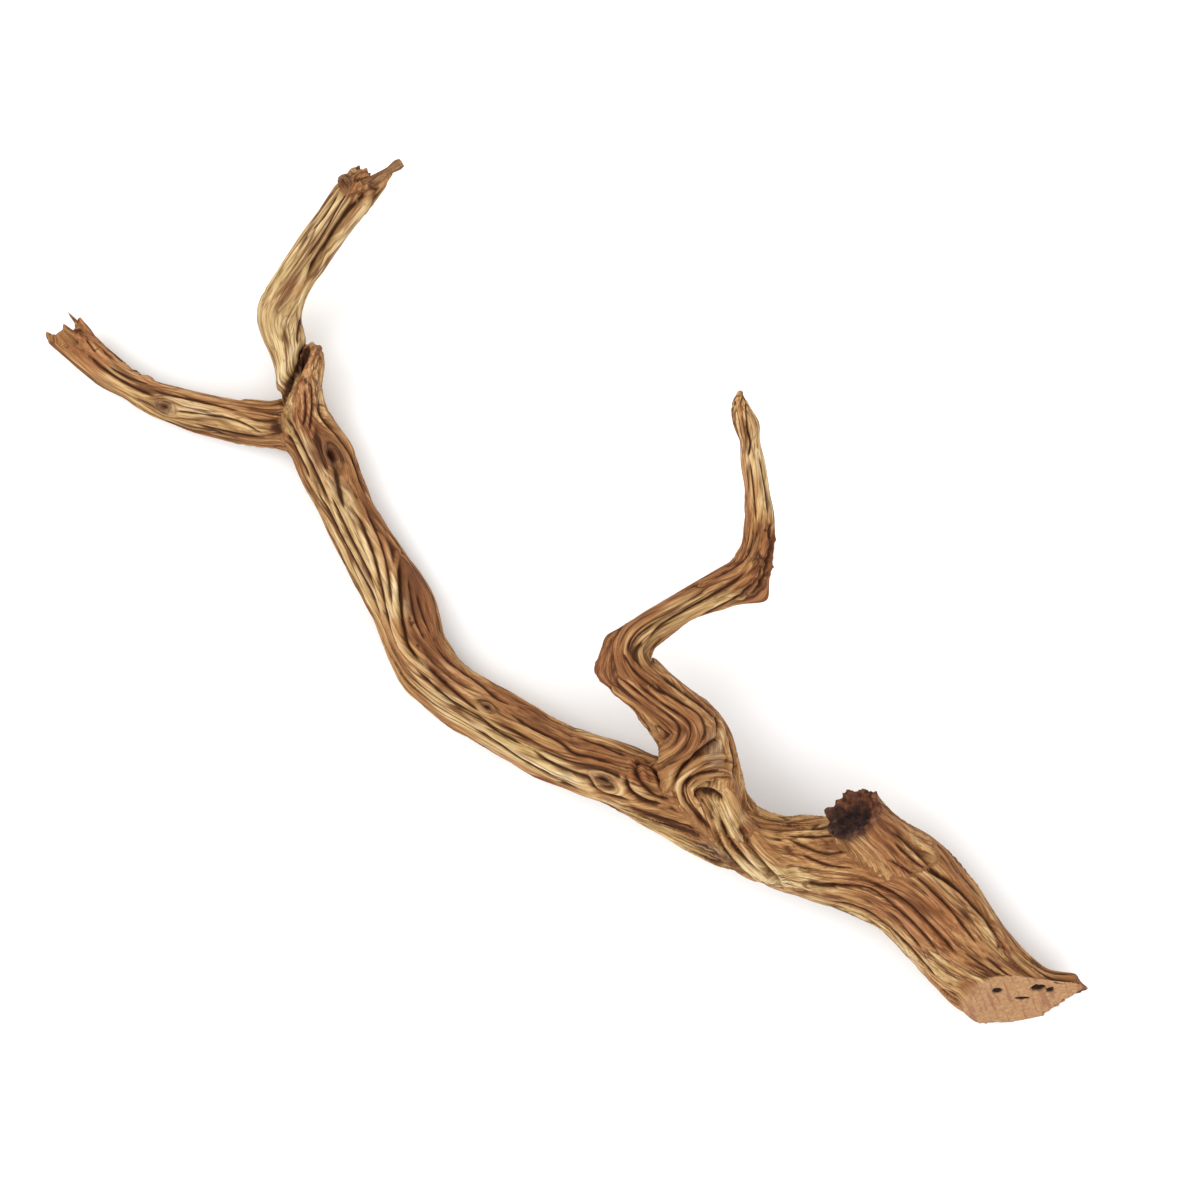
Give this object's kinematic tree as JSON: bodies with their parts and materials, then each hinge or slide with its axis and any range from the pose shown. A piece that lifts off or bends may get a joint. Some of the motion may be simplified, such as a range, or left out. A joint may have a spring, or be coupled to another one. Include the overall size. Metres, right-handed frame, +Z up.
{
  "type": "driftwood branch",
  "caption": "Weathered, twisted length of vine wood with a sawn butt, a charred stub and bare limbs that end in snapped tips, lying on its side.",
  "frame": {"origin": "on the surface that the wood lies on, below the middle of its bounding box", "axes": "+X along the longest extent, from the left branch's tip towards the sawn butt; +Y across it, towards the upper branch; +Z up from the surface"},
  "size_m": [0.6295, 0.516, 0.1262],
  "materials": {
    "weathered_wood": "bare, sand-worn and dry, with raised grain; matt"
  },
  "bodies": {
    "root": {"driftwood": "weathered_wood"}
  },
  "joints": []
}
